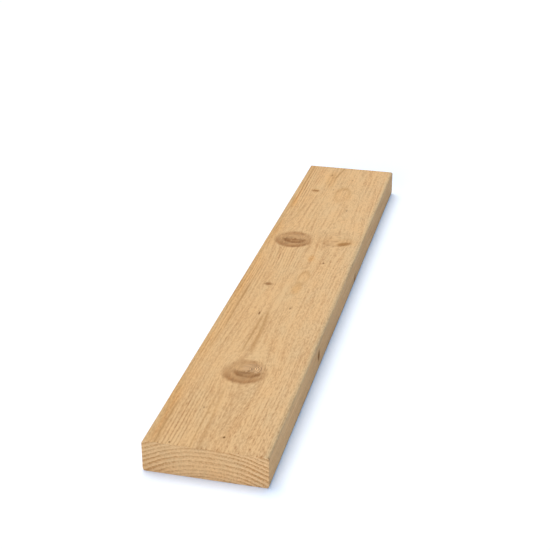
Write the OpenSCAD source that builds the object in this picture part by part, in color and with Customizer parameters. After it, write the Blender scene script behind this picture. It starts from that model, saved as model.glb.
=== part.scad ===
// Softwood plank: one length of dressed framing timber, lying on a wide face.
// X runs across the width, Y along the grain and Z up through the thickness.
// The origin is the middle of the lower wide face.

/* [Plank] */
// Length along the grain, from one sawn end to the other, in mm
plank_length = 850; // [300:10:6000]
// Width of the two wide faces, in mm
plank_width = 140; // [60:1:300]
// Thickness between the two wide faces, in mm
plank_thickness = 38; // [15:1:100]

/* [Arrises] */
// Radius that the moulder leaves on the two upper long edges, in mm
upper_arris_radius = 3; // [1:0.5:6]
// Radius that the moulder leaves on the two lower long edges, in mm
lower_arris_radius = 3; // [1:0.5:6]

/* [Hidden] */
// Segments in a full circle, for the rounded arrises
$fn = 64;
// How far a cutter reaches past the timber, so that no skin is left on a face, in mm
cutter_overrun = 1;
// Pale tan of freshly planed softwood
timber_colour = [0.85, 0.70, 0.52];

// The sliver that a rounding cutter takes off a square edge at the origin, whose timber lies towards +X and +Y
module arris_waste(radius) {
    difference() {
        translate([-cutter_overrun, -cutter_overrun])
            square(radius + cutter_overrun);
        translate([radius, radius])
            circle(r = radius);
    }
}

// Both slivers along one wide face, whose level is 0 and whose timber lies towards +Y
module arris_waste_pair(radius) {
    for (hand = [0, 1])
        mirror([hand, 0])
            translate([-plank_width / 2, 0])
                arris_waste(radius);
}

// Cross-section of the plank: X across, Y up from the lower wide face
module section() {
    difference() {
        translate([-plank_width / 2, 0])
            square([plank_width, plank_thickness]);
        arris_waste_pair(lower_arris_radius);
        translate([0, plank_thickness])
            mirror([0, 1])
                arris_waste_pair(upper_arris_radius);
    }
}

// The whole plank, sawn square at both ends
module plank() {
    color(timber_colour)
        rotate([90, 0, 0])
            linear_extrude(height = plank_length, center = true)
                section();
}

plank();
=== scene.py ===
"""A softwood plank: a sawn blank with the relief of its grain, its timber finish, and a studio stage."""

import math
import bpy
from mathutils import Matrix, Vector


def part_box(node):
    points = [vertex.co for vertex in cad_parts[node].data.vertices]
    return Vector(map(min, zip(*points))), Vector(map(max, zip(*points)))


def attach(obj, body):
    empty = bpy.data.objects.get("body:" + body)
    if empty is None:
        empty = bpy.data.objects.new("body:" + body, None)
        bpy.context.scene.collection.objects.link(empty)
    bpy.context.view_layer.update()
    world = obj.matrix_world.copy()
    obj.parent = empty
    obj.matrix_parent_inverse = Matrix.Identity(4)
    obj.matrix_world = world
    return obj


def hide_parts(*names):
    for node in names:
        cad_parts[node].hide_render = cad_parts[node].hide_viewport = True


bl_info = {
    "name": "Softwood Plank",
    "version": (1, 0, 0),
    "blender": (4, 5, 0),
    "location": "View3D > Sidebar > Plank",
    "description": "Dresses a length of framing timber with growth rings, knots and sawn ends",
    "category": "Object",
}

from typing import NamedTuple

import bpy
from mathutils import Vector

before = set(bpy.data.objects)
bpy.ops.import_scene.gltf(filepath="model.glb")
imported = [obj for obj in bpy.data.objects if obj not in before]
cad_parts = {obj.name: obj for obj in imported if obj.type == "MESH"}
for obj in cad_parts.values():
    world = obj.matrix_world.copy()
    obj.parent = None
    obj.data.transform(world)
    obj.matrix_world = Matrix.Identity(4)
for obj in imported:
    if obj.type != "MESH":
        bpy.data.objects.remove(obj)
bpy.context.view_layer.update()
PLANK_LOW, PLANK_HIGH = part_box("plank")
PLANK_SIZE = PLANK_HIGH - PLANK_LOW
MM = 0.001
LEVEL_SLACK = 0.001 * MM


def arris_radius():
    """Radius of the upper long edges: how far the flat of the upper face stops short of the side."""
    corners = [vertex.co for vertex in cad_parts["plank"].data.vertices]
    flat = [corner.x for corner in corners if corner.z > PLANK_HIGH.z - LEVEL_SLACK]
    return PLANK_HIGH.x - max(flat)


# Places on the timber. Along is from the near end, across from the middle of the width
# towards the right and height from the lower face, all in mm


class Knot(NamedTuple):
    """A branch that the saw cut through, as it shows on the upper face.

    Fill is its share of branch wood, of which the far side lacks fade. Rim, pale and heart are the strengths
    of those parts. The heart is placed from the knot's middle, and a torn one ends in splinters.
    """

    along: float
    across: float
    radius: float
    fill: float
    fade: float
    rim: float
    pale: float
    heart_along: float
    heart_across: float
    heart_length: float
    heart_width: float
    heart: float
    torn: bool


class Fleck(NamedTuple):
    """A small dark spot in the wood: a resin pocket, or a twig that shows at a face. Lean turns it aside."""

    along: float
    across: float
    height: float
    half_length: float
    half_width: float
    half_height: float
    lean: float
    strength: float


class Streak(NamedTuple):
    """A dark line of late growth that stands out from the rest of the grain."""

    start: float
    end: float
    across: float
    slope: float
    bow: float
    half_width: float
    strength: float


class Comb(NamedTuple):
    """A patch of the upper face where the grain stands out in even lines."""

    along: float
    across: float
    half_length: float
    half_width: float
    pitch: float
    slope: float
    bow: float
    strength: float


class Island(NamedTuple):
    """A growth ring that just breaks the upper face: a warm patch, with a darker crescent at its far end."""

    along: float
    across: float
    half_length: float
    half_width: float
    warmth: float
    crescent: float


KNOTS = (
    Knot(165, 0, 27.5, 0.85, 0.28, 0.85, 0.55, 0, 3, 14.5, 17.5, 0.78, True),
    Knot(546.5, -29.2, 27.8, 0.96, 0.12, 1.0, 0.12, 2, 1.5, 15.5, 18.0, 1.0, True),
    Knot(560, 30, 26, 0.15, 0.05, 0.22, 0.0, 0, 0, 4, 4, 0.0, False),
    Knot(396, -30, 5.5, 0.40, 0.1, 0.10, 0.0, 0, 0, 4.4, 6.2, 0.73, False),
    Knot(740, -37.5, 6.5, 0.30, 0.1, 0.10, 0.0, 0, 0, 4, 6.8, 0.78, False),
)
GREAT_KNOTS = [knot for knot in KNOTS if knot.torn]
FLECKS = (
    Fleck(311, -20.5, 38, 5, 1.5, 3, 0, 0.9),
    Fleck(332, 15, 38, 4, 1.6, 3, 0, 0.6),
    Fleck(27, 14, 38, 2.4, 1.8, 3, 0, 0.95),
    Fleck(5, -40, 38, 1.8, 1.4, 3, 0, 0.9),
    Fleck(79, -24, 38, 2.6, 1.4, 3, 0, 0.45),
    Fleck(476, 29.5, 38, 3.5, 1.6, 3, 0, 0.8),
    Fleck(670, 26, 38, 6, 1.8, 3, 0, 0.5),
    Fleck(750, -10.5, 38, 5, 1.3, 3, 0, 0.4),
    Fleck(797, 12, 38, 4, 1.5, 3, 0, 0.5),
    Fleck(812, -25, 38, 5, 1.5, 3, 0, 0.55),
    Fleck(530.5, -10, 38, 3.5, 2.5, 3, 0, 0.4),
    Fleck(167, 3.7, 38, 2.6, 1.8, 3, 0, 0.6),
    Fleck(160, 15, 38, 3.5, 3, 3, 0.3, 0.35),
)
TWIGS = (
    Fleck(545.5, 45, 38, 8, 12.5, 12, 0.45, 0.62),
    Fleck(253, 70, 20, 8, 9, 9, 0, 1.0),
    Fleck(502, 70, 6, 8, 9, 8, 0, 0.8),
)
STREAKS = (
    Streak(200, 318, -15.3, 0.02, 0.0, 1.4, 0.80),
    Streak(200, 335, -6.6, -0.045, -1.6, 2.7, 0.50),
    Streak(207, 330, -7.8, -0.03, -1.6, 1.1, 0.40),
    Streak(255, 400, -54.3, 0.0, 0.3, 1.4, 0.75),
    Streak(330, 470, -53.3, 0.0, -0.4, 1.3, 0.55),
    Streak(205, 262, -57.5, 0.03, 0.0, 1.4, 0.40),
    Streak(-30, 95, -56.2, -0.01, 0.4, 1.7, 0.85),
    Streak(-30, 190, -63.0, 0.0, 0.0, 1.6, 0.35),
    Streak(-30, 125, -17.3, -0.01, 0.0, 1.3, 0.50),
    Streak(-30, 145, -9.5, -0.05, 0.0, 1.6, 0.45),
    Streak(598, 690, -44.8, 0.118, -2.2, 1.3, 0.50),
    Streak(655, 715, -62.5, -0.10, 0.0, 1.8, 0.60),
    Streak(640, 705, -47.0, 0.0, 0.5, 1.5, 0.30),
    Streak(750, 815, -16.3, -0.02, 0.0, 1.3, 0.45),
    Streak(755, 815, -21.8, 0.0, 0.0, 1.2, 0.45),
    Streak(765, 830, -26.2, 0.0, 0.0, 1.1, 0.30),
    Streak(795, 880, -11.8, 0.13, -1.0, 1.9, 0.88),
    Streak(735, 880, -61.5, 0.0, 0.0, 1.7, 0.78),
    Streak(560, 680, -63.5, 0.0, 0.0, 1.5, 0.45),
    Streak(585, 612, -20.5, 0.0, 0.0, 1.4, 0.35),
    Streak(364, 416, 9.0, 0.0, 0.0, 5.5, 0.20),
)
COMBS = (
    Comb(45, -40, 95, 22, 4.2, 0.0, 0.0, 0.58),
    Comb(488, -26, 42, 20, 3.9, 0.03, 0.0, 0.74),
    Comb(672, -31, 62, 22, 5.7, -0.042, 0.00105, 0.18),
    Comb(430, -58, 48, 9, 3.6, 0.0, 0.0, 0.80),
    Comb(240, -61, 110, 7, 3.4, 0.01, 0.0, 0.50),
    Comb(760, -58, 80, 10, 4.2, 0.02, 0.0, 1.0),
    Comb(110, 40, 120, 22, 4.4, 0.01, 0.0, 0.33),
    Comb(420, 46, 110, 16, 4.0, 0.0, 0.0, 0.28),
    Comb(800, 36, 42, 12, 5.0, 0.0, 0.0, 0.25),
)
ISLANDS = (
    Island(424, 12.5, 18, 7, 0.25, 0.52),
    Island(390, 10.0, 17, 7, 0.55, 0.08),
    Island(488, 9.5, 12, 5, 0.60, 0.08),
    Island(732, 7, 26, 10.5, 0.15, 0.52),
    Island(795, -22, 42, 11, 0.35, 0.0),
    Island(685, -60, 22, 5, 0.35, 0.0),
    Island(551, 47, 14, 15, 0.75, 0.10),
    Island(740, -37.5, 8, 8, 0.60, 0.0),
)


class Texture(NamedTuple):
    """Cloudy noise: the size of its clouds across, along and in height, in mm, its detail and its place."""

    size: tuple
    detail: float
    shift: float


# Noise that bends rings, knots and lines
WOBBLE = Texture((7, 9, 7), 2.0, 3.7)
RING_WAVE = Texture((34, 130, 34), 2.0, 11.3)
RING_RIPPLE = Texture((8, 55, 8), 2.0, 5.1)
JAG = Texture((2.2, 9, 2.2), 2.0, 8.4)
WARP = Texture((16, 150, 16), 2.0, 9.2)

# Noise that shows as grain
SPECK = Texture((1.4, 5, 1.4), 1.0, 1.3)
DASH = Texture((2.5, 11, 2.5), 1.0, 4.6)
FIBRE = Texture((2.1, 140, 2.1), 2.5, 2.9)
BUNDLE = Texture((7, 220, 7), 1.0, 6.1)
CLOUD = Texture((28, 140, 28), 1.5, 7.7)
BLUSH = Texture((17, 48, 17), 1.0, 12.2)
FURROW = Texture((3.6, 40, 3.6), 0.0, 2.9)

# Rings: the pith's rise along the plank, how far the noise moves a ring, in mm, how a knot draws it in, and
# the slow swings of good and bad years, each with its turn per mm and its reach in mm
PITH_TILT = 0.008
RING_WAVE_REACH = 4.0
RING_RIPPLE_REACH = 1.4
KNOT_PULL_REACH = 1.3
KNOT_PULL = 0.05
GOOD_YEARS = ((0.107, 1.1), (0.2, 0.6))

# When in its year the wood darkens and is darkest, and where the next year begins
STRONG_RING = (0.15, 0.82)
FINE_RING = (0.15, 0.85)
RING_STOP = (1.0, 0.93)
FINE_RINGS = 3
YEAR_LEAST = 0.5

# Fibres that part round a knot: their reach in radii, and how much further it goes along the plank
PARTING_REACH = 0.7
PARTING_LENGTH = 2

# Where the upper face's own marks fade out below it, and where an end begins, in mm
UPPER_FADE = (14, 4)
END_FADE = (0.6, 0.3)

# A knot's parts, in shares of its radius, each from where it begins to where it is full
FAR_SIDE = (-0.6, 0.8)
RIGHT_SIDE = (0.35, 0.9)
LEFT_SIDE = (-0.5, -1.0)
KNOT_EDGE = 1.13
KNOT_FULL = 0.85
KNOT_WOBBLE = 0.12
RIM = (0.45, 0.90)
RIM_LINE = 0.94
RIM_LINE_WIDTH = 0.09

# Strengths of a knot's parts, and where the stain at its far tip lies across it, in mm
FADE_EDGE = 0.5
RIGHT_LOSS = 0.25
RIGHT_PALE_LOSS = 0.40
LEFT_LOSS = 0.35
NEAR_STAIN = 0.66
FAR_STAIN = 0.45
FAR_STAIN_START = 0.75
FAR_STAIN_ACROSS = 2.0
FAR_STAIN_WIDTH = 12.0
RIM_STAIN = 0.15
RIM_JAG = 0.9
RIM_LINE_STAIN = 0.17
RIM_LINE_JAG = 0.6

# A knot's heart, in shares of its size: its edge, the edge of a pin knot's, and its dark bands
HEART_WOBBLE = 0.35
HEART_EDGE = (1.12, 0.78)
PIN_EDGE = (1.35, 0.25)
BAND_TURN = 6.8
BAND_SWING = 0.20
BAND_LEVEL = 0.78
BAND_JAG = 1.05

# The splinters of a torn heart and the pale wood beyond it with its small rings, in mm
TEAR_REACH = 14.0
TEAR_EDGE = 2.5
PALE_ALONG = 7.5
PALE_ACROSS = 4.5
PALE_WOBBLE = 1.2
PALE_EDGE = (15.0, 10.0)
ARC_PITCH = 2.6
ARC_EDGE = (12.0, 7.0)
ARC_SIDE = (-4.0, 6.0)
ARC_STRENGTH = 1.8

# Outlines of flecks, streaks, combs and islands, in shares of their sizes, and what the noise does to them,
# which for streaks and combs is in mm
FLECK_EDGE = (1.15, 0.35)
FLECK_WOBBLE = 0.5
STREAK_ENDS = (1.0, 0.3)
STREAK_WOBBLE = 1.6
COMB_WARP = 7.0
COMB_LINE = (-0.1, 1.0)
COMB_LEVEL = 0.35
ISLAND_EDGE = (1.25, 0.4)
ISLAND_WOBBLE = 0.40
CRESCENT_WIDTH = 0.24
CRESCENT_SIDE = (-0.6, 0.9)
CRESCENT_LEAST = 0.5

# Warm wood in a band along the left edge and over the left half, and sapwood at the right
WARM_BAND = (21, 7)
WARM_BAND_WAVE = 22.0
WARM_BAND_PATCHES = (-0.15, 0.2)
WARM_BAND_PATCH = 0.5
WARM_BAND_LEAST = 0.15
WARM_LEFT_START = 15.0
WARM_LEFT = 0.15
CRESCENT_WARMTH = 0.5
SAPWOOD_START = 10.0
SAPWOOD_SHARE = 0.7

# Shares of the late wood's stain on an end, by kind of mark, and where its rings are darker, in mm
END_STAIN = {"strong_ring": 0.50, "fine_ring": 0.12, "speck": 0.15, "low": 0.03}
END_RIGHT = (10.0, 55.0)
END_RIGHT_STAIN = 0.40
END_LEFT = (-25.0, -60.0)
END_LEFT_STAIN = 0.26
END_LOW = (30.0, 4.0)
END_LOW_STAIN = 0.5
END_HIGH_STAIN = 0.9
END_SPECK = 0.8
END_SPECK_STAIN = 1.6

# Shares of that stain on a long face, by kind of mark, with the rest of its marks and where they lie, in mm
FACE_STAIN = {
    "strong_ring": 0.10, "fibre": 1.18, "bundle": 0.17, "dash": 0.36, "clear": -0.2, "flank": 0.26,
}
PATCHES = (-0.12, 0.12)
PATCH_STAIN = 0.14
PATCH_LEAST = 0.05
SAW_MARK = (0.16, 0.26)
SAW_MARK_DASH = 0.5
SAW_MARK_REACH = (150.0, 10.0)
SAW_MARK_STAIN = 0.18
CHIP = (0.04, 0.16)
CHIP_REACH = (6.0, 0.5)
CHIP_STAIN = 0.6
FAR_HALF = (250.0, 750.0)
FAR_FIBRE = 0.35

# Shares of that stain all over, and how the specks of it differ from side to side
WOOD_STAIN = {"speck": 0.92, "cloud": 0.08}
SPECK_SIDES = {"right": 0.30, "flank": -0.80, "end": -0.35}
RIGHT_HALF = (-5.0, 25.0)
NEAR_PART = (260.0, 0.0)
NEAR_PART_STAIN = 0.05
LEFT_STAIN = 0.06
EVEN_STAIN = 0.05

# Changes of red, green and blue
BLUSH_TINT = (0.09, -0.03, -0.16)
END_TINT = (-0.012, 0.012, 0.05)
END_LATE_TINT = (0.0, -0.02, -0.12)
# Painted shade: the feet of the narrow sides darker and cooler, in the floor's contact shadow
FOOT_SHADE_TINT = (-0.25, -0.15, 0.0)
# Painted shade: the upper arrises darker and cooler, as they turn away from the light
ARRIS_SHADE_TINT = (-0.095, -0.045, 0.0)
FLANK_HONEY = 0.20

# Where the narrow sides, the painted shade at their feet and the painted shade on the upper arrises begin
# and
# are full: in from the side, and in height from the upper or the lower face, in mm
FLANK_SIDE = (2.5, 0.3)
FLANK_TOP = (0.5, 3.0)
FOOT_SHADE_SIDE = (4.0, 1.0)
FOOT_SHADE_HEIGHT = (4.5, 0.5)
ARRIS_SHADE_SIDE = (7.5, 3.0)
ARRIS_SHADE_TOP = (4.5, 2.0)

# Brightness of the ends and sides, by place in mm, and of the marks on the knots
END_BRIGHT = (0.0, 55.0)
END_BRIGHT_RIGHT = 0.07
END_BRIGHT_LEAST = 0.035
FLANK_BRIGHT = (290.0, 20.0)
FLANK_BRIGHT_NEAR = 0.15
FLANK_DIM = 0.05
MARK_BRIGHT = {"speck": -0.16, "rings": 0.44}
KNOT_BRIGHT = {"speck": -0.30, "dash": -0.54, "fibre": -0.24}
PALE_SPECK = 0.9

# Heights of the marks in the finish, in mm, and how rough they are
BUMP = {
    "fine_ring": 0.04, "fibre": -0.35, "dash": -0.25, "speck": -0.25, "bundle": -0.4,
    "rings": 0.10, "rim": -0.05,
}
ROUGHNESS = 0.70
MARK_ROUGHNESS = {"strong_ring": -0.08, "wood": -0.10, "fibre": 0.12, "end": 0.10}

# Relief of the mesh, in shares of its depth: how far rings and furrows stand up, how far all else sinks, and
# how much of the grain's relief a knot lacks
GRAIN_RISE = {"strong_ring": 0.5, "fine_ring": 0.3}
FURROW_RISE = -0.8
EVEN_SINK = 0.8
MARK_SINK = {"rim": 0.6, "rings": -0.15, "wobble": 0.3}
KNOT_CALM = 0.6


def colour_setting(name, description, default):
    return bpy.props.FloatVectorProperty(
        name=name, description=description, subtype="COLOR", default=default, min=0.0, max=1.0)


def length_setting(name, description, default, **limits):
    return bpy.props.FloatProperty(
        name=name, description=description, default=default, unit="LENGTH", **limits)


def angle_setting(name, description, degrees):
    return bpy.props.FloatProperty(
        name=name, description=description, default=math.radians(degrees), subtype="ANGLE")


class PlankShape(bpy.types.PropertyGroup):
    """Sizes of the sawn blank and of the relief that its grain leaves."""

    width: length_setting("Width", "Across the two wide faces", PLANK_SIZE.x, min=0.02)
    length: length_setting(
        "Length", "Along the grain, from one sawn end to the other", PLANK_SIZE.y, min=0.1)
    thickness: length_setting("Thickness", "Between the two wide faces", PLANK_SIZE.z, min=0.01)
    arris: length_setting("Arris radius", "Rounding of the four long edges", arris_radius(), min=0.0)
    relief: length_setting(
        "Relief", "How deep the soft early wood sinks below the hard late wood", 0.14 * MM, min=0.0)
    rows: bpy.props.IntProperty(
        name="Rows", description="Faces along the length, which crowd at the two great knots",
        default=224, min=8)
    columns: bpy.props.IntProperty(
        name="Columns", description="Faces across the width", default=150, min=8)
    layers: bpy.props.IntProperty(
        name="Layers", description="Faces through the thickness", default=40, min=4)


class TimberFinish(bpy.types.PropertyGroup):
    """Growth and colours of the wood."""

    ring_pitch: length_setting("Ring pitch", "From one strong growth ring to the next", 4.8 * MM)
    pith_depth: length_setting(
        "Pith depth", "How far the middle of the tree lies below the lower face", 120 * MM)
    pith_across: length_setting(
        "Pith across", "How far the middle of the tree lies to the right of the plank's", 7 * MM)
    early_wood: colour_setting("Early wood", "Pale wood of spring growth", (0.746, 0.446, 0.197))
    late_stain: colour_setting(
        "Late stain", "What the wood that closes each ring keeps of the early wood's colour",
        (0.595, 0.472, 0.385))
    honey: colour_setting(
        "Honey tint", "Warm tint along the left edge and in patches", (0.745, 0.380, 0.125))
    rust: colour_setting("Rust", "Streaks of dark heartwood", (0.490, 0.255, 0.090))
    sapwood: colour_setting("Sapwood", "Paler wood towards the right edge", (0.750, 0.455, 0.208))
    knot_wood: colour_setting("Knot wood", "Wood of a branch", (0.500, 0.260, 0.100))
    knot_pale: colour_setting(
        "Pale knot wood", "Far side of a knot, where the cut runs with its grain", (0.560, 0.318, 0.147))
    knot_rim: colour_setting("Knot rim", "Bark-side rim of a knot", (0.370, 0.166, 0.055))
    knot_heart: colour_setting("Knot heart", "Dark heart of a knot", (0.260, 0.106, 0.029))
    resin: colour_setting("Resin", "Resin flecks", (0.190, 0.080, 0.021))
    twig: colour_setting("Twig", "Wood of the twigs", (0.270, 0.095, 0.010))
    gloss: bpy.props.FloatProperty(
        name="Gloss", description="Reflection of the bare wood, seen straight on", subtype="FACTOR",
        default=0.06, min=0.0, max=1.0)


class StudioStage(bpy.types.PropertyGroup):
    """Floor, lamps and camera."""

    floor_size: length_setting("Floor size", "Side of the square floor", 40.0)
    floor_colour: colour_setting("Floor", "White of the floor", (0.98, 0.98, 0.98))
    floor_glow: colour_setting("Floor glow", "What the camera sees the floor give off", (0.03, 0.045, 0.045))
    top_colour: colour_setting("Top lamp", "Warm light of the lamp overhead", (1.0, 0.92, 0.76))
    top_strength: bpy.props.FloatProperty(
        name="Top strength", description="Light of the lamp overhead, in watts per square metre",
        default=2.27)
    top_heading: angle_setting(
        "Top heading", "Turn of the lamp overhead to the left of the plank's length", 139)
    top_height: angle_setting("Top height", "Height of the lamp overhead above the floor, as an angle", 72)
    top_spread: angle_setting(
        "Top spread", "Apparent size of the lamp overhead, which softens the shadow", 42)
    key_colour: colour_setting("Key lamp", "Warm light of the lamp at the front", (1.0, 0.95, 0.90))
    key_strength: bpy.props.FloatProperty(
        name="Key strength", description="Light of the lamp at the front, in watts per square metre",
        default=1.16)
    key_heading: angle_setting("Key heading", "Turn of the front lamp to the left of the plank's length", 8)
    key_height: angle_setting("Key height", "Height of the front lamp above the floor, as an angle", 14)
    key_spread: angle_setting("Key spread", "Apparent size of the front lamp", 24)
    sky_colour: colour_setting("Sky", "Cool light from all around", (0.24, 0.42, 0.73))
    eye: bpy.props.FloatVectorProperty(
        name="Camera", description="Place of the camera", subtype="TRANSLATION",
        default=(0.3169, -1.4054, 0.7422))
    heading: angle_setting("Heading", "Turn of the camera to the left of the length", 13.78)
    dip: angle_setting("Dip", "How far the camera looks down", 25.97)
    lens: bpy.props.FloatProperty(
        name="Lens", description="Focal length on a 36 mm square frame, in mm", default=76.92)


class Wire:
    """One socket of a node tree. Arithmetic on it adds Math nodes to that tree."""

    def __init__(self, tree, socket=None):
        self.tree = tree
        self.socket = socket

    def node(self, kind, settings=None, inputs=None, output=0):
        """Adds a node, gives it its settings and then its inputs, and returns one of its outputs."""
        made = self.tree.nodes.new(kind)
        for name, value in (settings or {}).items():
            setattr(made, name, value)
        for key, value in (inputs or {}).items():
            if isinstance(value, Wire):
                self.tree.links.new(value.socket, made.inputs[key])
            else:
                made.inputs[key].default_value = value
        return Wire(self.tree, made.outputs[output] if made.outputs else None)

    def math(self, operation, *others):
        return self.node("ShaderNodeMath", {"operation": operation}, dict(enumerate((self, *others))))

    def vector_math(self, operation, *others, output=0):
        values = dict(enumerate((self, *others)))
        return self.node("ShaderNodeVectorMath", {"operation": operation}, values, output)

    def axes(self):
        return [self.node("ShaderNodeSeparateXYZ", None, {0: self}, axis) for axis in range(3)]

    def __add__(self, other):
        return self.math("ADD", other)

    __radd__ = __add__

    def __sub__(self, other):
        return self.math("SUBTRACT", other)

    def __rsub__(self, other):
        return self.math("MULTIPLY_ADD", -1.0, other)

    def __mul__(self, other):
        return self.math("MULTIPLY", other)

    def __truediv__(self, other):
        return self.math("DIVIDE", other)


MIX_FACTOR, MIX_COLOUR_A, MIX_COLOUR_B, MIX_COLOUR = 0, 6, 7, 2


def smooth(value, start, end):
    """Goes from 0 at start to 1 at end, in an S."""
    settings = {"interpolation_type": "SMOOTHSTEP"}
    return value.node("ShaderNodeMapRange", settings, {0: value, 1: start, 2: end})


def bell(value, half_width):
    """1 where value is 0, falling away on both sides over half_width."""
    share = value * (1 / half_width)
    return (share * share * -1.0).math("EXPONENT")


def combine(x, y, z):
    wire = next(value for value in (x, y, z) if isinstance(value, Wire))
    return wire.node("ShaderNodeCombineXYZ", None, {0: x, 1: y, 2: z})


def distance(x, y, z=0.0):
    return combine(x, y, z).vector_math("LENGTH", output="Value")


def noise(point, texture):
    """Cloudy noise from about -0.5 to 0.5."""
    place = point.vector_math("MULTIPLY_ADD", [1 / size for size in texture.size], [texture.shift] * 3)
    inputs = {"Vector": place, "Scale": 1.0, "Detail": texture.detail}
    return point.node("ShaderNodeTexNoise", None, inputs) - 0.5


def blend(low, high, share):
    """Mixes two colours."""
    settings = {"data_type": "RGBA", "clamp_factor": True}
    inputs = {MIX_FACTOR: share, MIX_COLOUR_A: low, MIX_COLOUR_B: high}
    return share.node("ShaderNodeMix", settings, inputs, MIX_COLOUR)


def shade(colour, strength):
    """Scales a colour or a direction."""
    return colour.node("ShaderNodeVectorMath", {"operation": "SCALE"}, {0: colour, "Scale": strength})


def tinted(colour, share, changes):
    """Changes red, green and blue, each by its own part of a share."""
    return colour.vector_math("MULTIPLY", combine(*(share * change + 1.0 for change in changes)))


def opaque(colour):
    return (*colour, 1.0)


def weigh(source, weights):
    """Adds up values that a source holds by name, each with its weight."""
    return sum(getattr(source, name) * weight for name, weight in weights.items())


def ring_line(count, spring, autumn):
    """How late in its year the wood grew: 0 until spring, 1 from autumn, with a sharp stop at the end."""
    part = count.math("FRACT")
    return smooth(part, spring, autumn) * smooth(part, *RING_STOP)


class Branch(NamedTuple):
    """How far a spot lies from a knot's middle, along, across and straight, at the upper face's scale."""

    along: Wire
    across: Wire
    away: Wire


class Spot:
    """A place in the timber, in mm, and what the tree grew there, for the mesh and for the finish."""

    def __init__(self, point, shape, finish):
        """Point is in metres, in the plank's own frame."""
        self.length = shape.length / MM
        self.half_width = shape.width / MM / 2
        self.thickness = shape.thickness / MM
        self.pitch = finish.ring_pitch / MM
        self.pith_height = -finish.pith_depth / MM
        self.pith_across = finish.pith_across / MM
        near_end = [0.0, -PLANK_LOW.y / MM, -PLANK_LOW.z / MM]
        self.point = point.vector_math("MULTIPLY_ADD", [1 / MM] * 3, near_end)
        self.across, self.along, self.height = self.point.axes()
        self.taper = (self.height - self.pith_height) * (1 / (self.thickness - self.pith_height))
        self.wobble = noise(self.point, WOBBLE)
        self.branches = [self.branch(knot) for knot in KNOTS]
        self.flow = self.parted_fibres()
        self.grow_rings()
        self.grow_knots()

    def branch(self, knot):
        middle = self.taper * (knot.across - self.pith_across) + self.pith_across
        along = (self.along - knot.along) / self.taper
        across = (self.across - middle) / self.taper
        return Branch(along, across, distance(along, across))

    def parted_fibres(self):
        """The spot with its place across the plank shifted, so that fibres part round the knots."""
        across = self.across
        for knot, branch in zip(KNOTS, self.branches):
            reach = (knot.radius * PARTING_REACH) ** 2
            near = distance(branch.along * (1 / PARTING_LENGTH), branch.across)
            across = across - branch.across * reach / (near * near + reach)
        return combine(across, self.along, self.height)

    def grow_rings(self):
        """Dark lines of the strong rings and of the fine ones between them."""
        rise = self.along * PITH_TILT + self.height - self.pith_height
        radius = distance(self.across - self.pith_across, rise)
        radius = radius + noise(self.point, RING_WAVE) * RING_WAVE_REACH
        radius = radius + noise(self.point, RING_RIPPLE) * RING_RIPPLE_REACH
        for knot, branch in zip(KNOTS, self.branches):
            radius = radius - bell(branch.away, knot.radius * KNOT_PULL_REACH) * (knot.radius * KNOT_PULL)
        good_years = sum((radius * turn).math("SINE") * reach for turn, reach in GOOD_YEARS)
        ring = (radius + good_years) * (1 / self.pitch)
        year = ring.math("FLOOR")
        strength = year.node("ShaderNodeTexWhiteNoise", {"noise_dimensions": "1D"}, {"W": year})
        strength = strength * (1.0 - YEAR_LEAST) + YEAR_LEAST
        self.strong_ring = ring_line(ring, *STRONG_RING) * strength
        self.fine_ring = ring_line(ring * FINE_RINGS, *FINE_RING)

    def grow_knots(self):
        """Shares of the knots' wood, of their rims, hearts and pale sides, and the small rings in those."""
        self.wood = self.rim = self.heart = self.pale = self.rings = 0.0
        jag = noise(self.point, JAG)
        for knot, branch in zip(KNOTS, self.branches):
            self.add_branch_wood(knot, branch, jag)
            along = branch.along - knot.heart_along
            across = branch.across - knot.heart_across
            core = distance(along * (1 / knot.heart_length), across * (1 / knot.heart_width))
            core = core + self.wobble * HEART_WOBBLE
            if knot.torn:
                self.add_torn_heart(knot, along, across, core, jag)
            else:
                self.heart = smooth(core, *PIN_EDGE) * knot.heart + self.heart
        self.wood = self.wood.math("MINIMUM", 1.0)

    def add_branch_wood(self, knot, branch, jag):
        """A branch's own wood, with a rim that is darkest on the near side and at the far tip."""
        forth = branch.along * (1 / knot.radius)
        aside = branch.across * (1 / knot.radius)
        share = branch.away * (1 / knot.radius) + self.wobble * KNOT_WOBBLE
        far = smooth(forth, *FAR_SIDE)
        near = 1.0 - far
        inside = smooth(share, KNOT_EDGE, KNOT_FULL - far * (knot.fade * FADE_EDGE))
        right = smooth(aside, *RIGHT_SIDE) * (knot.pale * RIGHT_PALE_LOSS + RIGHT_LOSS)
        left = smooth(aside, *LEFT_SIDE) * LEFT_LOSS
        inside = inside * (1.0 - right - left)
        self.wood = inside * (near * knot.fade + (knot.fill - knot.fade)) + self.wood

        tip = smooth(far, FAR_STAIN_START, 1.0) * bell(branch.across - FAR_STAIN_ACROSS, FAR_STAIN_WIDTH)
        stain = near * near * NEAR_STAIN + tip * FAR_STAIN + RIM_STAIN + jag * RIM_JAG
        line = bell(share - RIM_LINE, RIM_LINE_WIDTH) * (jag * RIM_LINE_JAG + RIM_LINE_STAIN)
        self.rim = inside * (smooth(share, *RIM) * stain + line) * knot.rim + self.rim

    def add_torn_heart(self, knot, along, across, core, jag):
        """A dark banded heart that ends in splinters, and the pale wood beyond it with its small rings."""
        torn = smooth(along + jag * TEAR_REACH, TEAR_EDGE, -TEAR_EDGE)
        whole = 1.0 - torn
        band = (core * BAND_TURN).math("COSINE") * BAND_SWING + BAND_LEVEL + jag * BAND_JAG
        self.heart = smooth(core, *HEART_EDGE) * torn * band * knot.heart + self.heart
        away = distance(along - PALE_ALONG, across - PALE_ACROSS) + self.wobble * PALE_WOBBLE
        self.pale = smooth(away, *PALE_EDGE) * whole * knot.pale + self.pale
        arcs = (away * (math.tau / ARC_PITCH)).math("SINE") * smooth(away, *ARC_EDGE) * whole
        self.rings = arcs * smooth(across, *ARC_SIDE) * (knot.pale * ARC_STRENGTH) + self.rings


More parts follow.
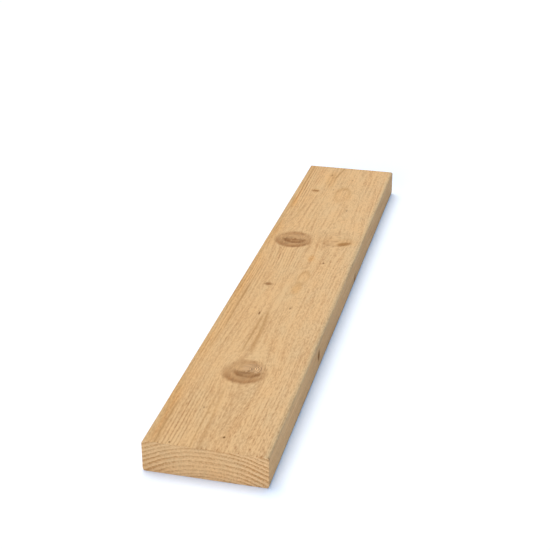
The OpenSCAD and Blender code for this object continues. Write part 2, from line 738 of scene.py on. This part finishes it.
class Surface(Spot):
    """A spot with all else that the finish shows there."""

    def __init__(self, point, shape, finish):
        super().__init__(point, shape, finish)
        self.finish = finish
        self.speck = noise(self.flow, SPECK)
        self.dash = noise(self.flow, DASH)
        self.fibre = noise(self.flow, FIBRE)
        self.bundle = noise(self.flow, BUNDLE)
        self.cloud = noise(self.point, CLOUD)
        self.blush = noise(self.point, BLUSH)
        self.inset = self.along.math("MINIMUM", self.length - self.along)
        self.end = smooth(self.inset, *END_FADE)
        self.face = 1.0 - self.end
        self.upper = self.below_top(UPPER_FADE) * self.face
        self.low = smooth(self.height, *END_LOW)
        self.right = smooth(self.across, *RIGHT_HALF) * self.face
        self.flank = self.beside(FLANK_SIDE) * self.below_top(FLANK_TOP)
        # Painted shade at the feet of the narrow sides
        self.foot_shade = self.beside(FOOT_SHADE_SIDE) * smooth(self.height, *FOOT_SHADE_HEIGHT) * self.face
        # Painted shade on the upper arrises
        self.arris_shade = self.beside(ARRIS_SHADE_SIDE) * self.below_top(ARRIS_SHADE_TOP) * self.face
        self.find_islands()

    def beside(self, inset):
        """Goes from 0 to 1 between two distances in from either side."""
        start, end = inset
        return smooth(self.across.math("ABSOLUTE"), self.half_width - start, self.half_width - end)

    def below_top(self, depth):
        """Goes from 0 to 1 between two distances below the upper face."""
        start, end = depth
        return smooth(self.height, self.thickness - start, self.thickness - end)

    def find_islands(self):
        """Shares of the warm patches and their crescents, and how clear the wood is inside a crescent."""
        warmth = crescent = clear = 0.0
        for island in ISLANDS:
            along = (self.along - island.along) * (1 / island.half_length)
            across = (self.across - island.across) * (1 / island.half_width)
            away = distance(along, across) + self.wobble * ISLAND_WOBBLE
            inside = smooth(away, *ISLAND_EDGE)
            side = smooth(along, *CRESCENT_SIDE) * (1 - CRESCENT_LEAST) + CRESCENT_LEAST
            warmth = inside * island.warmth + warmth
            crescent = bell(away - 1.0, CRESCENT_WIDTH) * side * island.crescent + crescent
            clear = inside * island.crescent + clear
        self.warmth = warmth * self.upper
        self.crescent = crescent * self.upper
        self.clear = clear * self.upper

    def flecks(self, places):
        """Share of resin flecks or of twigs."""
        total = 0.0
        for fleck in places:
            aside = self.across - fleck.across
            x = aside * (1 / fleck.half_width)
            y = (self.along - fleck.along - aside * fleck.lean) * (1 / fleck.half_length)
            z = (self.height - fleck.height) * (1 / fleck.half_height)
            away = distance(x, y, z) + self.wobble * FLECK_WOBBLE
            total = smooth(away, *FLECK_EDGE) * fleck.strength + total
        return total

    def streaks(self):
        """Share of the rusty lines that stand out on the upper face."""
        total = 0.0
        for streak in STREAKS:
            middle = (streak.start + streak.end) / 2
            half = (streak.end - streak.start) / 2
            along = (self.along - middle) * (1 / half)
            line = along * (streak.slope * half) + along * along * streak.bow + streak.across
            across = self.across - line + self.wobble * STREAK_WOBBLE
            ends = smooth(along * along, *STREAK_ENDS)
            total = bell(across, streak.half_width) * ends * streak.strength + total
        return total * self.upper

    def combs(self):
        """Share of the even lines, which the upper face shows in patches."""
        total = 0.0
        warp = noise(self.flow, WARP) * COMB_WARP
        for comb in COMBS:
            along = self.along - comb.along
            across = self.across - comb.across
            bent = across + along * comb.slope + along * along * comb.bow + warp
            lines = smooth((bent * (math.tau / comb.pitch)).math("SINE"), *COMB_LINE) - COMB_LEVEL
            patch = bell(along, comb.half_length) * bell(across, comb.half_width)
            total = lines * patch * comb.strength + total
        return total * self.upper

    def early_colour(self):
        """Early wood, warmer along the left edge and on the islands, and paler towards the right."""
        patches = smooth(self.bundle + self.cloud, *WARM_BAND_PATCHES) * WARM_BAND_PATCH + WARM_BAND_LEAST
        start, end = WARM_BAND
        wave = self.across + self.bundle * WARM_BAND_WAVE
        band = smooth(wave, start - self.half_width, end - self.half_width) * patches
        left = smooth(self.across, WARM_LEFT_START, -self.half_width) * WARM_LEFT
        warm = (band + left + self.warmth + self.crescent * CRESCENT_WARMTH) * self.face
        colour = blend(opaque(self.finish.early_wood), opaque(self.finish.honey), warm)
        sapwood = smooth(self.across, SAPWOOD_START, self.half_width + SAPWOOD_START) * SAPWOOD_SHARE
        colour = blend(colour, opaque(self.finish.sapwood), sapwood)
        colour = tinted(colour, self.blush, BLUSH_TINT)
        return tinted(colour, self.end, END_TINT)

    def end_stain(self):
        """Late wood on the ends, where the rings are darker towards the two sides."""
        right = smooth(self.across, *END_RIGHT) * END_RIGHT_STAIN
        left = smooth(self.across, *END_LEFT) * END_LEFT_STAIN
        sides = (right + left) * (self.low * END_LOW_STAIN + END_HIGH_STAIN)
        rings = self.strong_ring * (sides + self.speck * (sides * END_SPECK_STAIN + END_SPECK))
        return rings + weigh(self, END_STAIN)

    def face_stain(self):
        """Late wood on the long faces: fibres, patches of lines, and the saw's marks and chips."""
        patch = smooth(self.cloud, *PATCHES) * PATCH_STAIN + PATCH_LEAST
        saw_mark = smooth(self.speck + self.dash * SAW_MARK_DASH, *SAW_MARK)
        saw_mark = saw_mark * smooth(self.along, *SAW_MARK_REACH) * SAW_MARK_STAIN
        chip = smooth(self.inset, *CHIP_REACH) * smooth(self.dash, *CHIP) * CHIP_STAIN
        far_fibre = self.fibre * smooth(self.along, *FAR_HALF) * FAR_FIBRE
        return weigh(self, FACE_STAIN) + self.fine_ring * patch + far_fibre + self.combs() + saw_mark + chip

    def late_share(self):
        """How much of the late wood's stain shows."""
        stain = self.end_stain() * self.end + self.face_stain() * self.face
        stain = stain + weigh(self, WOOD_STAIN) + self.speck * weigh(self, SPECK_SIDES)
        near = smooth(self.along, *NEAR_PART) * NEAR_PART_STAIN
        left = smooth(self.across, 0.0, -self.half_width) * self.face * LEFT_STAIN
        return stain + near + left + EVEN_STAIN

    def brightness(self):
        """What the ends, the sides and the marks on the knots gain or lose in light."""
        end = (smooth(self.across, *END_BRIGHT) * END_BRIGHT_RIGHT + END_BRIGHT_LEAST) * self.end
        flank = smooth(self.along, *FLANK_BRIGHT) * FLANK_BRIGHT_NEAR - FLANK_DIM
        knots = self.wood * weigh(self, KNOT_BRIGHT) - self.speck * self.pale * PALE_SPECK
        return end + self.flank * self.face * flank + weigh(self, MARK_BRIGHT) + knots + 1.0

    def colour(self):
        finish = self.finish
        early = self.early_colour()
        late = tinted(early.vector_math("MULTIPLY", finish.late_stain), self.end, END_LATE_TINT)
        colour = blend(early, late, self.late_share())
        for paint, share in (
            (finish.honey, self.flank * self.face * FLANK_HONEY),
            (finish.rust, self.streaks() + self.crescent),
            (finish.knot_wood, self.wood),
            (finish.knot_pale, self.pale),
            (finish.knot_rim, self.rim),
            (finish.knot_heart, self.heart),
            (finish.resin, self.flecks(FLECKS)),
            (finish.twig, self.flecks(TWIGS)),
        ):
            colour = blend(colour, opaque(paint), share)
        colour = shade(colour, self.brightness())
        # Painted shade at the feet of the narrow sides
        colour = tinted(colour, self.foot_shade, FOOT_SHADE_TINT)
        # Painted shade on the upper arrises
        return tinted(colour, self.arris_shade, ARRIS_SHADE_TINT)


def timber_material(shape, finish):
    """Bare planed softwood: growth rings, fibres, knots and resin flecks, in the round."""
    material = bpy.data.materials.new("planed_softwood")
    material.use_nodes = True
    tree = material.node_tree
    tree.nodes.clear()
    desk = Wire(tree)
    spot = Surface(desk.node("ShaderNodeTexCoord", output="Object"), shape, finish)
    bump = {"Strength": 1.0, "Distance": MM, "Height": weigh(spot, BUMP)}
    surface = desk.node("ShaderNodeBsdfPrincipled", None, {
        "Base Color": spot.colour(),
        "Roughness": weigh(spot, MARK_ROUGHNESS) + ROUGHNESS,
        "Normal": desk.node("ShaderNodeBump", None, bump),
        "Specular IOR Level": finish.gloss,
    })
    desk.node("ShaderNodeOutputMaterial", None, {"Surface": surface})
    return material


ROW_CROWDING = 25 * MM
ROW_REACH = 40 * MM


def crowd_rows(place, length):
    """Moves evenly spread rows closer together at the great knots, with the two ends left where they are."""
    count = len(GREAT_KNOTS)
    squeeze = 1 - 2 * count * ROW_CROWDING / length
    crowded = place
    for i, knot in enumerate(GREAT_KNOTS):
        centre = (knot.along * MM - length / 2) * squeeze + ROW_CROWDING * (2 * i + 1 - count)
        crowded = crowded - ((place - centre) * (1 / ROW_REACH)).math("TANH") * ROW_CROWDING
    return crowded * (1 / squeeze)


def clamp(value, radius, half):
    """Keeps a value within half, less the radius, of the middle."""
    return value.math("MAXIMUM", radius - half).math("MINIMUM", half - radius)


NEVER_ZERO = 1e-9


def round_arrises(across, height, shape, radius):
    """Draws the square corners of the section in to the rounding of the long edges."""
    inner_x = clamp(across, radius, shape.width / 2)
    inner_z = clamp(height, radius, shape.thickness / 2)
    x = across - inner_x
    z = height - inner_z
    reach = x.math("ABSOLUTE").math("MAXIMUM", z.math("ABSOLUTE"))
    share = reach / distance(x, z).math("MAXIMUM", NEVER_ZERO)
    return inner_x + x * share, inner_z + z * share


BAKE_GAP = 8 * MM
BAKE_END_STRIP = 60 * MM
BAKE_MARGIN = 0.004
FACING = 0.5


def bake_place(position, side, shape):
    """Lays the faces out flat for baking: length along U, the way round up V, and the ends on top."""
    x, y, z = position.axes()
    side_x, side_y, side_z = side.axes()

    def facing(value, sign):
        return (value * sign).math("GREATER_THAN", FACING)

    width, thickness = shape.width, shape.thickness
    right = x + width / 2
    up = z + thickness / 2
    girth = 2 * (width + thickness)
    total = girth + BAKE_GAP + BAKE_END_STRIP
    v = facing(side_z, 1) * right
    v = v + facing(side_x, 1) * (width + thickness - up)
    v = v + facing(side_z, -1) * (2 * width + thickness - right)
    v = v + facing(side_x, -1) * (2 * width + thickness + up)
    ends = facing(side_y, -1) + facing(side_y, 1)
    v = v + ends * (girth + BAKE_GAP + up * (BAKE_END_STRIP / thickness))
    u = (1.0 - ends) * (y * (1 / shape.length) + 0.5)
    half = 0.5 - BAKE_MARGIN
    u = u + facing(side_y, -1) * right * (half / width)
    u = u + facing(side_y, 1) * (1.0 - right * (half / width))
    inner = 1 - 2 * BAKE_MARGIN
    return combine(u * inner + BAKE_MARGIN, v * (inner / total) + BAKE_MARGIN, 0.0)


CREASE = math.radians(45)


def blank_tree(shape, finish, material):
    """Geometry nodes that saw the blank, round its long edges and let the grain stand in relief."""
    tree = bpy.data.node_groups.new("plank_blank", "GeometryNodeTree")
    tree.interface.new_socket("Geometry", in_out="OUTPUT", socket_type="NodeSocketGeometry")
    inputs = {}
    for name in ("Arris radius", "Relief"):
        inputs[name] = tree.interface.new_socket(name, in_out="INPUT", socket_type="NodeSocketFloat")
    desk = Wire(tree)
    given = tree.nodes.new("NodeGroupInput")
    radius = Wire(tree, given.outputs["Arris radius"])
    relief = Wire(tree, given.outputs["Relief"])

    blank = desk.node("GeometryNodeMeshCube", None, {
        "Size": (shape.width, shape.length, shape.thickness),
        "Vertices X": shape.columns + 1, "Vertices Y": shape.rows + 1, "Vertices Z": shape.layers + 1})
    position = desk.node("GeometryNodeInputPosition")
    x, y, z = position.axes()
    spread = desk.node("GeometryNodeSetPosition", None, {
        "Geometry": blank, "Position": combine(x, crowd_rows(y, shape.length), z)})

    normal = desk.node("GeometryNodeInputNormal")
    face_normal = desk.node(
        "GeometryNodeFieldOnDomain", {"data_type": "FLOAT_VECTOR", "domain": "FACE"}, {0: normal})
    mapped = desk.node("GeometryNodeStoreNamedAttribute", {"data_type": "FLOAT2", "domain": "CORNER"}, {
        "Geometry": spread, "Name": "OFBake", "Value": bake_place(position, face_normal, shape)})

    round_x, round_z = round_arrises(x, z, shape, radius)
    rounded = desk.node("GeometryNodeSetPosition", None, {
        "Geometry": mapped, "Position": combine(round_x, y, round_z + (PLANK_LOW.z + shape.thickness / 2))})

    spot = Spot(position, shape, finish)
    grain = weigh(spot, GRAIN_RISE) + noise(spot.flow, FURROW) * FURROW_RISE
    sunk = (EVEN_SINK - grain) * (1.0 - spot.wood * KNOT_CALM) + weigh(spot, MARK_SINK)
    drop = sunk.math("MAXIMUM", 0.0) * relief * -1.0
    grained = desk.node("GeometryNodeSetPosition", None, {
        "Geometry": rounded, "Offset": shade(normal, drop)})

    sharp = desk.node("GeometryNodeInputMeshEdgeAngle").math("GREATER_THAN", CREASE)
    soft = desk.node("GeometryNodeSetShadeSmooth", {"domain": "FACE"}, {
        "Geometry": grained, "Shade Smooth": True})
    crisp = desk.node("GeometryNodeSetShadeSmooth", {"domain": "EDGE"}, {
        "Geometry": soft, "Selection": sharp, "Shade Smooth": False})
    real = desk.node("GeometryNodeRealizeInstances", None, {"Geometry": crisp})
    finished = desk.node("GeometryNodeSetMaterial", None, {"Geometry": real, "Material": material})
    result = tree.nodes.new("NodeGroupOutput")
    tree.links.new(finished.socket, result.inputs["Geometry"])
    return tree, inputs


class PLANK_OT_saw(bpy.types.Operator):
    """Saw the plank, with its grain in relief and its timber finish"""

    bl_idname = "plank.saw"
    bl_label = "Saw Plank"

    def execute(self, context):
        shape = context.scene.plank_shape
        finish = context.scene.plank_finish
        material = timber_material(shape, finish)
        tree, inputs = blank_tree(shape, finish, material)
        plank = bpy.data.objects.new("plank_timber", bpy.data.meshes.new("plank_blank"))
        context.scene.collection.objects.link(plank)
        growth = plank.modifiers.new("Blank", "NODES")
        growth.node_group = tree
        growth[inputs["Arris radius"].identifier] = shape.arris
        growth[inputs["Relief"].identifier] = shape.relief
        sawn = plank.evaluated_get(context.evaluated_depsgraph_get())
        plank.data = bpy.data.meshes.new_from_object(sawn)
        plank.data.name = "plank_timber"
        plank.modifiers.remove(growth)
        if not plank.data.polygons:
            raise RuntimeError("the plank came out with no faces")
        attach(plank, "root")
        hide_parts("plank")
        return {"FINISHED"}


FLOOR_GAP = 0.1 * MM
FRAME_WIDTH = 36.0
WHITE = (1.0, 1.0, 1.0, 1.0)


def seen_flag(desk):
    """1 for what the camera sees, straight or in a reflection, and 0 for what lights the plank."""
    kinds = ("Camera", "Glossy", "Transmission")
    rays = [desk.node("ShaderNodeLightPath", output=f"Is {kind} Ray") for kind in kinds]
    return sum(rays).math("MINIMUM", 1.0)


def floor_material(stage):
    """Matt white, with the plank's shadow."""
    material = bpy.data.materials.new("studio_floor")
    material.use_nodes = True
    tree = material.node_tree
    tree.nodes.clear()
    desk = Wire(tree)
    matt = desk.node("ShaderNodeBsdfDiffuse", None, {"Color": opaque(stage.floor_colour)})
    glow = desk.node("ShaderNodeEmission", None, {
        "Color": opaque(stage.floor_glow), "Strength": seen_flag(desk)})
    surface = desk.node("ShaderNodeAddShader", None, {0: matt, 1: glow})
    desk.node("ShaderNodeOutputMaterial", None, {"Surface": surface})
    return material


def light_sky(stage, world):
    """Cool light from all around, which the camera and reflections see as white."""
    world.use_nodes = True
    tree = world.node_tree
    tree.nodes.clear()
    desk = Wire(tree)
    colour = blend(opaque(stage.sky_colour), WHITE, seen_flag(desk))
    background = desk.node("ShaderNodeBackground", None, {"Color": colour, "Strength": 1.0})
    desk.node("ShaderNodeOutputWorld", None, {"Surface": background})


def hang_lamp(scene, name, colour, strength, spread, heading, height):
    """A large round lamp far away, turned to the left of the plank's length and raised above the floor."""
    lamp = bpy.data.lights.new(name, "SUN")
    lamp.color = colour
    lamp.energy = strength
    lamp.angle = spread
    hung = bpy.data.objects.new(name, lamp)
    flat = math.cos(height)
    source = Vector((-math.sin(heading) * flat, -math.cos(heading) * flat, math.sin(height)))
    hung.rotation_euler = source.to_track_quat("Z", "Y").to_euler()
    scene.collection.objects.link(hung)


class PLANK_OT_stage(bpy.types.Operator):
    """Lay a white floor under the plank, light it and set the camera"""

    bl_idname = "plank.stage"
    bl_label = "Set Stage"

    def execute(self, context):
        scene = context.scene
        stage = scene.plank_stage
        half = stage.floor_size / 2
        level = PLANK_LOW.z - FLOOR_GAP
        corners = [(-half, -half, level), (half, -half, level), (half, half, level), (-half, half, level)]
        mesh = bpy.data.meshes.new("studio_floor")
        mesh.from_pydata(corners, [], [(0, 1, 2, 3)])
        mesh.materials.append(floor_material(stage))
        floor = bpy.data.objects.new("studio_floor", mesh)
        scene.collection.objects.link(floor)

        hang_lamp(scene, "top_lamp", stage.top_colour, stage.top_strength, stage.top_spread,
                  stage.top_heading, stage.top_height)
        hang_lamp(scene, "key_lamp", stage.key_colour, stage.key_strength, stage.key_spread,
                  stage.key_heading, stage.key_height)
        scene.world = bpy.data.worlds.new("studio_sky")
        light_sky(stage, scene.world)

        camera = bpy.data.cameras.new("camera")
        camera.lens = stage.lens
        camera.sensor_width = FRAME_WIDTH
        eye = bpy.data.objects.new("camera", camera)
        eye.location = stage.eye
        eye.rotation_euler = (math.pi / 2 - stage.dip, 0.0, stage.heading)
        scene.collection.objects.link(eye)
        scene.camera = eye
        scene.view_settings.view_transform = "Standard"
        return {"FINISHED"}


class PLANK_PT_sidebar(bpy.types.Panel):
    """Sizes, finish and stage of the plank"""

    bl_idname = "PLANK_PT_sidebar"
    bl_label = "Softwood Plank"
    bl_space_type = "VIEW_3D"
    bl_region_type = "UI"
    bl_category = "Plank"

    def draw(self, context):
        scene = context.scene
        for settings, operator in (
            (scene.plank_shape, None),
            (scene.plank_finish, PLANK_OT_saw),
            (scene.plank_stage, PLANK_OT_stage),
        ):
            for name in settings.__annotations__:
                self.layout.prop(settings, name)
            if operator:
                self.layout.operator(operator.bl_idname)


CLASSES = (PlankShape, TimberFinish, StudioStage, PLANK_OT_saw, PLANK_OT_stage, PLANK_PT_sidebar)


def register():
    for kind in CLASSES:
        bpy.utils.register_class(kind)
    bpy.types.Scene.plank_shape = bpy.props.PointerProperty(type=PlankShape)
    bpy.types.Scene.plank_finish = bpy.props.PointerProperty(type=TimberFinish)
    bpy.types.Scene.plank_stage = bpy.props.PointerProperty(type=StudioStage)


def unregister():
    del bpy.types.Scene.plank_stage
    del bpy.types.Scene.plank_finish
    del bpy.types.Scene.plank_shape
    for kind in reversed(CLASSES):
        bpy.utils.unregister_class(kind)


def main():
    register()
    bpy.ops.plank.saw()
    bpy.ops.plank.stage()


if __name__ == "__main__":
    main()
